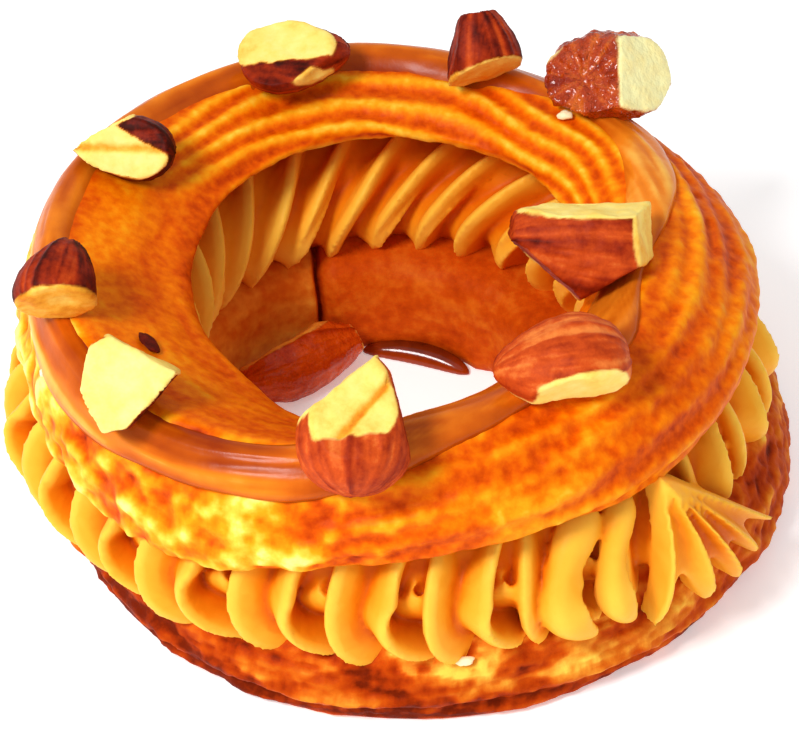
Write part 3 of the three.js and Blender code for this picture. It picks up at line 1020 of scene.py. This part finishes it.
    def build(self) -> bpy.types.Object:
        """Sweeps the star along the coil, fuses the loops, paints shade in the folds and under the loops,
        and paints light on the inner left.
        """
        piece, angle, turn = ring_mesh(256, 8, 5)
        along = angle / TURN
        small = 1e-5
        middle = self.path(along)
        forward = unit(self.path(along + small) - self.path(along - small))
        coil = self.loops * angle
        centre_angle = angle + self.crowding * np.sin(angle + math.pi / 2.0)
        radial = np.stack([np.cos(centre_angle), np.sin(centre_angle), 0.0 * angle], axis=1)
        up = np.array([0.0, 0.0, 1.0])
        outward = radial * np.cos(coil)[:, None] + up * np.sin(coil)[:, None]
        outward = unit(outward - forward * np.sum(outward * forward, axis=1, keepdims=True))
        side = np.cross(outward, forward)
        around = TURN * turn
        crest = np.abs(np.cos(self.teeth * (around - math.radians(self.crest_turn)) / 2.0)) ** self.sharpness
        size = self.rope * (self.groove + (1.0 - self.groove) * crest)
        size *= 1.0 - 0.2 * sector(centre_angle, *self.thinned) * (0.5 + 0.5 * np.cos(coil))
        spoke = outward * np.cos(around)[:, None] + side * np.sin(around)[:, None]
        move_points(piece, middle + size[:, None] * spoke)
        torn = [self.fan()] + [self.lap(*lap) for lap in self.laps]
        deselect_all()
        bpy.ops.mesh.primitive_torus_add(
            major_segments=96, minor_segments=24, major_radius=self.coil_radius * MM,
            minor_radius=self.core * MM)
        core = bpy.context.object
        bpy.ops.object.mode_set(mode="EDIT")
        place = Vector((*self.middle, self.coil_height)) + Vector(self.shift)
        bpy.ops.transform.translate(value=place * MM)
        bpy.ops.object.mode_set(mode="OBJECT")
        choose(piece)
        for part in (*torn, core):
            part.select_set(True)
        bpy.ops.object.join()
        use_modifier(piece, "REMESH", mode="VOXEL", voxel_size=self.voxel * MM)
        use_modifier(piece, "SMOOTH", factor=0.5, iterations=2)
        faces = sum(len(p.vertices) - 2 for p in piece.data.polygons)
        if faces > self.most_faces:
            use_modifier(piece, "DECIMATE", ratio=self.most_faces / faces)
        points = points_of(piece)
        points[:, 2] = np.maximum(points[:, 2], self.lowest)
        move_points(piece, points)
        # Painted shade: deeper orange to brown in the folds between the loops.
        painted_fold_shade = hollowness(piece, 40, 1.2)
        # Painted shade: darker on faces that look down.
        painted_underside_shade = 0.12 * ease(-normals_of(piece)[:, 2])
        bearing = np.arctan2(points[:, 1], points[:, 0])
        # Painted light: paler on the inner side at the left, which lies in shade.
        painted_light_inner_left = ease((31.0 - np.hypot(points[:, 0], points[:, 1])) / 4.0)
        painted_light_inner_left = painted_light_inner_left * sector(bearing, *self.painted_light_inside)
        paint(piece, "painted_fold_shade", 0.18 + 1.15 * (painted_fold_shade - 0.26) + painted_underside_shade - 0.22 * painted_light_inner_left)
        return dress(piece, "praline_cream", self.finish, ["cream"])


@dataclass
class CaramelGlaze:
    """A band of fondant poured along the lid's crown."""

    lid: LidSurface
    finish: bpy.types.Material
    thickness: float = 1.15
    sink: float = 0.5
    outer_edge: tuple[tuple[float, float], ...] = (
        (-175, 2.6), (-150, 1.75), (-118, 2.15), (-98, 2.0), (-78, 2.8), (-58, 3.6), (-38, 3.1), (-22, 4.3),
        (-12, 4.4), (5, 3.3), (25, 2.5), (60, 2.6), (120, 2.8))
    inner_edge: tuple[tuple[float, float], ...] = (
        (-175, 4.8), (-150, 4.3), (-115, 4.0), (-100, 4.5), (-85, 5.2), (-60, 6.5), (-10, 6.8), (18, 4.9),
        (35, 3.7), (50, 4.35), (68, 5.45), (85, 4.8), (110, 5.2), (130, 4.9), (160, 4.6))
    shades: tuple[tuple[float, float, float], ...] = (
        (0.28, -122.0, 26.0), (0.1, -60.0, 22.0), (0.14, 90.0, 40.0), (-0.34, 6.0, 30.0))
    # The stretch where a painted highlight lies along the outer edge.
    painted_highlight_rim: Stretch = (-185.0, -100.0, 15.0)
    mean_radius: float = 32.0
    seed: int = 37

    @staticmethod
    def along(angle: Array, edge: Sequence[tuple[float, float]]) -> Array:
        """Reads an edge at every angle, with its corners rounded.

        Args:
            angle: Angles in radians.
            edge: Bearings in degrees with the track number that the edge follows there.

        Returns:
            The track number at each angle.
        """
        bearings, places = zip(*edge)
        offsets = (-9.0, -5.0, 0.0, 5.0, 9.0)
        read = [np.interp(np.degrees(angle) + offset, bearings, places, period=360.0) for offset in offsets]
        return sum(read) / len(offsets)

    def edges(self, angle: Array) -> tuple[Array, Array]:
        """Where the band starts on the outer side and ends on the inner side, as track numbers."""
        start = self.along(angle, self.outer_edge) + 0.1 * unevenness(2.0 * angle, 2.0)
        end = self.along(angle, self.inner_edge) + 0.1 * unevenness(2.0 * angle, 4.0)
        return start, end

    def build(self) -> bpy.types.Object:
        """Meshes the band with a rounded step at each edge."""
        piece, angle, turn = ring_mesh(200, 20, 2)
        start, end = self.edges(angle)
        upper = turn < 0.5
        walk = np.where(upper, turn * 2.0, 2.0 - turn * 2.0)
        share = start + (end - start) * walk
        points = self.lid.at(angle, share)
        normals = self.lid.normal_at(angle, share)
        noise = LatticeNoise(self.seed)
        round_ring = self.mean_radius * np.stack([np.cos(angle), np.sin(angle)])
        sheet = np.stack([*round_ring, share * 4.0], axis=1)
        wrinkles = noise.layered(sheet, (9.0, 9.0, 0.9), 2)
        across = np.abs(2.0 * walk - 1.0)
        swell = (1.0 - across ** 6) ** 0.5
        feather = ease((1.0 - walk) / 0.45)
        swell = swell * np.where(walk > 0.5, feather, 1.0)
        stand = (self.sink + self.thickness + 0.35 * (wrinkles - 0.5)) * swell
        lift = np.where(upper, stand, 0.0) - self.sink
        move_points(piece, points + normals * lift[:, None])
        depth = 0.46 + 0.35 * across ** 4 - 0.7 * (wrinkles - 0.5) + 0.3 * (1.0 - feather)
        for darker, bearing, spread in self.shades:
            depth += darker * bump(angle, bearing, spread)
        # Painted highlight: a pale line near the outer edge on the left and front left.
        highlight_rim = np.exp(-(((walk - 0.16) / 0.11) ** 2))
        depth -= 0.5 * highlight_rim * sector(angle, *self.painted_highlight_rim)
        paint(piece, "depth", depth)
        return dress(piece, "caramel_glaze", self.finish)


@dataclass(frozen=True)
class Cut:
    """A flat break: which way it faces, how far it lies from the kernel's middle, and its look."""

    faces: tuple[float, float, float]
    distance: float
    pale: bool = True
    tone: float = 0.3
    covered: tuple[tuple[float, float, float, float], ...] = ()

    def height(self, points: Array) -> Array:
        """How far points stand past the face, in millimetres."""
        return points @ np.array(Vector(self.faces).normalized()) - self.distance


class Coating(Enum):
    """What an almond piece wears."""

    PLAIN = "plain"
    CARAMEL = "caramel"
    CANDIED = "candied"


@dataclass
class ChoppedAlmond:
    """A piece of roasted almond: part of a kernel with its skin, broken on one or more faces."""

    name: str
    size: tuple[float, float, float]
    turn: tuple[float, float, float]
    cuts: tuple[Cut, ...]
    coating: Coating = Coating.PLAIN
    groove: Cut | None = None
    taper: float = 0.32
    voxel: float = 0.24
    seed: int = 0
    skin_tone: float = 0.45
    coating_lumps: float = 1.6

    def kernel(self) -> bpy.types.Object:
        """The whole kernel, turned as it lies, with its middle at the origin."""
        deselect_all()
        bpy.ops.mesh.primitive_uv_sphere_add(segments=48, ring_count=24, radius=1.0)
        piece = bpy.context.object
        ball = points_of(piece) * MM
        along = ball[:, 2]
        narrow = 1.0 - self.taper * along
        kernel = np.stack([along, ball[:, 1] * narrow, -ball[:, 0] * narrow], axis=1)
        kernel = kernel * np.array(self.size) / 2.0
        move_points(piece, kernel @ self.rotation().T)
        return piece

    def rotation(self) -> Array:
        """The kernel's turn as a matrix."""
        yaw, rise, roll = (math.radians(a) for a in self.turn)
        return np.array(Euler((roll, -rise, yaw), "XYZ").to_matrix())

    def build(self, finishes: Finishes) -> bpy.types.Object:
        """Breaks the kernel, roughens its faces and lays it in its place.

        Args:
            finishes: All the finishes.

        Returns:
            The finished piece.
        """
        piece = self.kernel()
        bpy.ops.object.mode_set(mode="EDIT")
        for cut in self.cuts:
            way = Vector(cut.faces).normalized()
            bpy.ops.mesh.select_all(action="SELECT")
            bpy.ops.mesh.bisect(
                plane_co=way * cut.distance * MM, plane_no=way, use_fill=True, clear_outer=True)
        bpy.ops.object.mode_set(mode="OBJECT")
        rough = points_of(piece)
        low, high = (np.array(corner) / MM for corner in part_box(self.name))
        place = (low + high) / 2.0 - (rough.min(0) + rough.max(0)) / 2.0
        use_modifier(piece, "REMESH", mode="VOXEL", voxel_size=self.voxel * MM)
        use_modifier(piece, "SMOOTH", factor=0.5, iterations=1)
        self.shape_and_paint(piece)
        points = points_of(piece) + place
        points[:, 2] = np.maximum(points[:, 2], 0.0)
        move_points(piece, points)
        finish = {Coating.PLAIN: finishes.almond, Coating.CARAMEL: finishes.caramelised,
                  Coating.CANDIED: finishes.candied}[self.coating]
        return dress(piece, "roasted_" + self.name, finish, [self.name])

    def shape_and_paint(self, piece: bpy.types.Object) -> None:
        """Roughens the breaks, furrows the skin, and keeps what is kernel and what is skin."""
        points = points_of(piece)
        normals = normals_of(piece)
        noise = LatticeNoise(100 + self.seed)
        ragged = 0.35 * (noise.layered(points, 0.9, 2) - 0.5)
        flesh = 0.0 * points[:, 0]
        tone = 0.0 * flesh
        for cut in self.cuts:
            bare = cut.pale * ease((0.45 + ragged + cut.height(points)) / 0.25)
            for *way, distance in cut.covered:
                bare = bare * ease((0.15 - Cut(tuple(way), distance).height(points) + 1.5 * ragged) / 0.3)
            tone = np.where(bare > flesh, cut.tone, tone)
            flesh = np.maximum(flesh, bare)
        furrow = 0.0
        if self.groove is not None:
            furrow = flesh * np.exp(-(((self.groove.height(points) + 1.2 * ragged) / 0.4) ** 2))
        local = points @ self.rotation()
        turned = np.degrees(np.arctan2(local[:, 2], local[:, 1])) / 13.0
        streaks = noise.layered(np.stack([turned, local[:, 0] / 9.0, 0.0 * turned], axis=1), 1.0, 3)
        rough = noise.layered(points, 1.5, 3)
        chipped = noise.layered(points + 50.0, 3.2, 2)
        lumpy = 0.35 if self.coating is Coating.PLAIN else self.coating_lumps
        lift = (1.0 - flesh) * (0.5 * (streaks - 0.5) + lumpy * (rough - 0.5)) + flesh * (
            0.25 * (rough - 0.5) + 0.8 * (chipped - 0.5) - 0.5 * furrow)
        move_points(piece, points + normals * lift[:, None])
        paint(piece, "flesh", flesh)
        paint(piece, "streak", np.where(flesh > 0.5, tone + 0.4 * (chipped - 0.5) + 0.5 * furrow,
                                        self.skin_tone + 1.1 * (streaks - 0.5) + 0.3 * (chipped - 0.5)))


ALMONDS = (
    ChoppedAlmond("almond_back_left", (13, 9.5, 7.5), (10, 0, 0),
                  (Cut((-0.15, -0.3, 0.94), 1.4, covered=((0.1, -0.64, -0.77, 0.7),)),
                   Cut((0.6, -0.8, 0.1), 4.2, tone=0.55, covered=((0.1, 0.64, 0.77, -1.4),))),
                  seed=1, skin_tone=0.7),
    ChoppedAlmond("almond_left_back", (12.5, 7.5, 6.5), (170, 4, 0),
                  (Cut((-0.2, -0.75, 0.62), 1.2, covered=((0.5, 0.55, 0.66, 1.7),)),
                   Cut((-0.45, 0.55, 0.66), 2.4)),
                  seed=2, skin_tone=0.85, groove=Cut((0.05, 0.64, 0.77), -0.4)),
    # The broken face's deeper orange tone, 0.72, is painted shade.
    ChoppedAlmond("almond_left", (10.5, 8.2, 8), (80, 20, 0),
                  (Cut((0.1, -0.88, -0.47), 2.5, tone=0.72),), seed=3, skin_tone=0.7),
    ChoppedAlmond("almond_left_front", (17, 13, 8.5), (60, 10, 0),
                  (Cut((-0.05, -0.55, 0.83), 1.2, tone=0.15), Cut((-0.99, 0.09, 0.1), 4.5),
                   Cut((0.45, 0.57, 0.68), 3.5), Cut((0.76, -0.42, -0.5), 2.9, pale=False),
                   Cut((-0.87, -0.32, -0.38), 4.2, pale=False), Cut((0.1, -0.64, -0.77), 4.3, pale=False)),
                  seed=4, skin_tone=0.75),
    ChoppedAlmond("almond_front", (15, 11, 10), (88, 42, 0),
                  (Cut((0, -0.4, 0.92), 3.2, tone=0.45,
                       covered=((0.1, -0.64, -0.77, 1.4), (0.85, -0.34, -0.4, 3.4))),
                   Cut((-0.63, 0.5, 0.59), 3.6), Cut((0.97, 0.15, 0.18), 4.4, pale=False)),
                  seed=5, groove=Cut((0.76, -0.42, -0.5), 0.0)),
    ChoppedAlmond("almond_right_front", (14, 11, 8.5), (190, 0, 0),
                  (Cut((0.2, -0.86, -0.46), 3.3, covered=((-0.95, 0.2, 0.24, 1.6),)),
                   Cut((-0.1, 0, -1), 2.6)), seed=6, skin_tone=0.28),
    ChoppedAlmond("almond_right", (19, 13.5, 9), (180, 6, -50),
                  (Cut((0, 0.4, 0.92), 4.0), Cut((0.93, -0.2, 0.3), 6.4, tone=0.5),
                   Cut((0, 0.77, -0.64), 1.8), Cut((-0.98, 0, 0.2), 8.0, pale=False),
                   Cut((0.5, -0.56, -0.67), 4.8, pale=False), Cut((-0.66, -0.48, -0.57), 4.6, pale=False)),
                  seed=7, skin_tone=0.48),
    ChoppedAlmond("almond_back_right", (18, 13, 9), (215, 12, 10),
                  (Cut((0.68, -0.4, 0.62), 3.6, tone=0.1), Cut((-0.35, -0.5, 0.79), 2.0, pale=False),
                   Cut((-0.7, 0.3, 0.65), 5.6)), Coating.CARAMEL, seed=8, skin_tone=0.35),
    ChoppedAlmond("almond_back", (11.4, 8.8, 7.6), (110, 68, 0),
                  (Cut((0.3, -0.72, -0.62), 2.6, tone=0.62), Cut((-0.98, 0, 0.2), 3.2, pale=False),
                   Cut((-0.2, 0.63, 0.75), 4.0, pale=False)), seed=9, skin_tone=0.72),
    ChoppedAlmond("almond_fallen", (17.5, 8.4, 7), (32, 0, 35),
                  (Cut((0.85, 0.53, 0.1), 7.2), Cut((-0.5, 0.55, 0.65), 2.7, tone=0.6)),
                  Coating.CANDIED, seed=10, skin_tone=0.2, coating_lumps=0.5),
)


@dataclass
class Trimmings:
    """The small things: syrup at the foot of the hole's wall, a chip of skin, crumbs of kernel."""

    base: BaseSurface
    lid: LidSurface
    finishes: Finishes
    bead_ends: tuple[float, float] = (48.0, 94.0)
    bead_radius: float = 17.9
    bead_width: float = 3.6
    bead_height: float = 2.0
    clearance: float = 0.25
    seed: int = 5

    def ball(self, segments: int, rings: int) -> tuple[bpy.types.Object, Array]:
        """A unit ball to shape: the object, and its points from -1 to 1."""
        deselect_all()
        bpy.ops.mesh.primitive_uv_sphere_add(segments=segments, ring_count=rings, radius=1.0)
        piece = bpy.context.object
        return piece, points_of(piece) * MM

    def syrup(self) -> bpy.types.Object:
        """A lens of dark syrup pooled along the foot of the wall."""
        piece, ball = self.ball(32, 64)
        first, last = self.bead_ends
        angle = np.radians(first + (last - first) * (0.5 + 0.5 * ball[:, 2]))
        hole = np.array(self.base.sizes.hole) + self.base.shift[:2]
        radius = self.bead_radius + 0.5 * self.bead_width * ball[:, 0]
        height = np.maximum(self.bead_height * ball[:, 1], 0.02)
        move_points(piece, np.stack(
            [hole[0] + radius * np.cos(angle), hole[1] + radius * np.sin(angle), height], axis=1))
        use_modifier(piece, "REMESH", mode="VOXEL", voxel_size=0.25 * MM)
        use_modifier(piece, "SMOOTH", factor=0.5, iterations=3)
        points = points_of(piece)
        points[:, 2] = np.maximum(points[:, 2], 0.0)
        move_points(piece, points)
        paint(piece, "depth", ease(points[:, 2] / 3.0))
        return dress(piece, "caramel_syrup", self.finishes.syrup)

    def chip(
        self, name: str, surface: RingSurface, bearing: float, share: float,
        size: tuple[float, float, float], turn: float, finish: bpy.types.Material,
    ) -> bpy.types.Object:
        """One flake or crumb lying on a surface.

        Args:
            name: The piece's name.
            surface: What it lies on.
            bearing: Where round the ring, in degrees.
            share: Which track of the surface it lies on.
            size: Length, width and thickness in millimetres.
            turn: How far it is turned where it lies, in degrees.
            finish: Its material.

        Returns:
            The finished piece.
        """
        piece, ball = self.ball(20, 14)
        noise = LatticeNoise(int(abs(bearing)) + self.seed)
        angle = np.array([math.radians(bearing)])
        at = surface.at(angle, np.array([share]))[0]
        up = surface.normal_at(angle, np.array([share]))[0]
        level = unit(np.cross(up, np.array([0.0, 0.0, 1.0]))[None, :])[0]
        other = np.cross(up, level)
        spin = math.radians(turn)
        long = math.cos(spin) * level + math.sin(spin) * other
        wide = math.cos(spin) * other - math.sin(spin) * level
        jagged = 1.0 + 0.9 * (noise.layered(ball * 3.0, 2.2, 2) - 0.5)
        shaped = ball * jagged[:, None] * np.array(size) / 2.0
        shaped[:, 2] += 0.4 * size[2] + self.clearance
        points = at + shaped @ np.stack([long, wide, up])
        move_points(piece, points)
        paint(piece, "flesh", 0.0 * points[:, 0])
        paint(piece, "streak", 0.95 + 0.0 * points[:, 0])
        paint(piece, "depth", 0.5 + 0.0 * points[:, 0])
        return dress(piece, name, finish)

    def build(self) -> None:
        """Makes every trimming."""
        crumb, skin = self.finishes.crumb, self.finishes.almond
        self.syrup()
        self.chip("almond_skin_flake", self.lid, -142.5, 5.2, (3.4, 1.6, 0.5), 10.0, skin)
        self.chip("kernel_crumb_front", self.base, -81.0, 1.75, (2.1, 1.0, 0.9), 5.0, crumb)
        self.chip("kernel_crumb_left", self.lid, -152.0, 2.1, (1.6, 0.9, 0.8), 60.0, crumb)
        self.chip("kernel_crumb_back", self.lid, 41.0, 4.5, (1.7, 1.1, 1.0), 30.0, crumb)


# ---------------------------------------------------------------- the studio

@dataclass
class Studio:
    """A pale floor, a broad soft light from the front left and the camera."""

    aim: tuple[float, float, float] = (-1.255, -1.889, 15.0)
    distance: float = 300.0
    elevation: float = 40.0
    lens: float = 118.5
    sky: float = 0.62
    key_power: float = 1.8
    key_place: tuple[float, float, float] = (-220.0, -270.0, 400.0)
    key_aim: tuple[float, float, float] = (0.0, 0.0, 20.0)
    key_width: float = 140.0
    floor_width: float = 6000.0
    floor_glow: float = 0.3

    def build(self) -> None:
        """Makes the floor, the lights and the camera."""
        self.floor()
        self.lights()
        self.camera()

    def floor(self) -> None:
        """A plain white floor."""
        deselect_all()
        bpy.ops.mesh.primitive_plane_add(size=self.floor_width * MM)
        floor = bpy.context.object
        floor.name = "studio_floor"
        material = bpy.data.materials.new("white_paper_floor")
        material.use_nodes = True
        shader = material.node_tree.nodes["Principled BSDF"]
        shader.inputs["Base Color"].default_value = srgb("#ffffff")
        shader.inputs["Roughness"].default_value = 0.9
        shader.inputs["Specular IOR Level"].default_value = 0.0
        shader.inputs["Emission Color"].default_value = srgb("#ffffff")
        shader.inputs["Emission Strength"].default_value = self.floor_glow
        floor.data.materials.append(material)

    def lights(self) -> None:
        """A white sky and one large soft lamp."""
        world = bpy.data.worlds.new("studio_sky")
        bpy.context.scene.world = world
        world.use_nodes = True
        background = world.node_tree.nodes["Background"]
        background.inputs["Color"].default_value = srgb("#ffffff")
        background.inputs["Strength"].default_value = self.sky
        deselect_all()
        place = Vector(self.key_place) * MM
        bpy.ops.object.light_add(type="AREA", location=place)
        lamp = bpy.context.object
        lamp.name = "key_lamp"
        lamp.data.shape = "DISK"
        lamp.data.size = self.key_width * MM
        lamp.data.energy = self.key_power
        lamp.rotation_euler = (Vector(self.key_aim) * MM - place).to_track_quat("-Z", "Y").to_euler()

    def camera(self) -> None:
        """The camera, looking down on the front of the ring."""
        deselect_all()
        rise = math.radians(self.elevation)
        aim = Vector(self.aim) * MM
        back = Vector((0.0, -math.cos(rise), math.sin(rise)))
        bpy.ops.object.camera_add(location=aim + back * self.distance * MM)
        camera = bpy.context.object
        camera.rotation_euler = (-back).to_track_quat("-Z", "Y").to_euler()
        camera.data.lens = self.lens
        camera.data.sensor_width = 36.0
        camera.data.clip_start = 0.01
        bpy.context.scene.camera = camera
        bpy.context.scene.view_settings.view_transform = "Standard"


def main() -> None:
    """Builds the pastry from the bottom up, then the studio, and logs each piece's face count."""
    logging.basicConfig(level=logging.INFO, format="%(name)s %(message)s")
    finishes = Finishes()
    sizes = RingSizes()
    shift = ring_shift(sizes)
    base = BaseSurface(sizes, (1.6, 2.0, 2.2, 1.6, 1.6, 1.6, 0.8, 0.8), shift)
    lid = LidSurface(sizes, (1.2, 1.6, 1.6, 1.4, 1.3, 1.2, 1.2, 0.7, 0.4, 0.4, 0.4, 0.4), shift)
    ChouxBase(base, finishes.base_choux).build()
    PralineCream(sizes, shift, finishes.cream).build()
    ChouxLid(lid, finishes.lid_choux).build()
    CaramelGlaze(lid, finishes.glaze).build()
    for almond in ALMONDS:
        almond.build(finishes)
    Trimmings(base, lid, finishes).build()
    Studio().build()


if __name__ == "__main__":
    main()
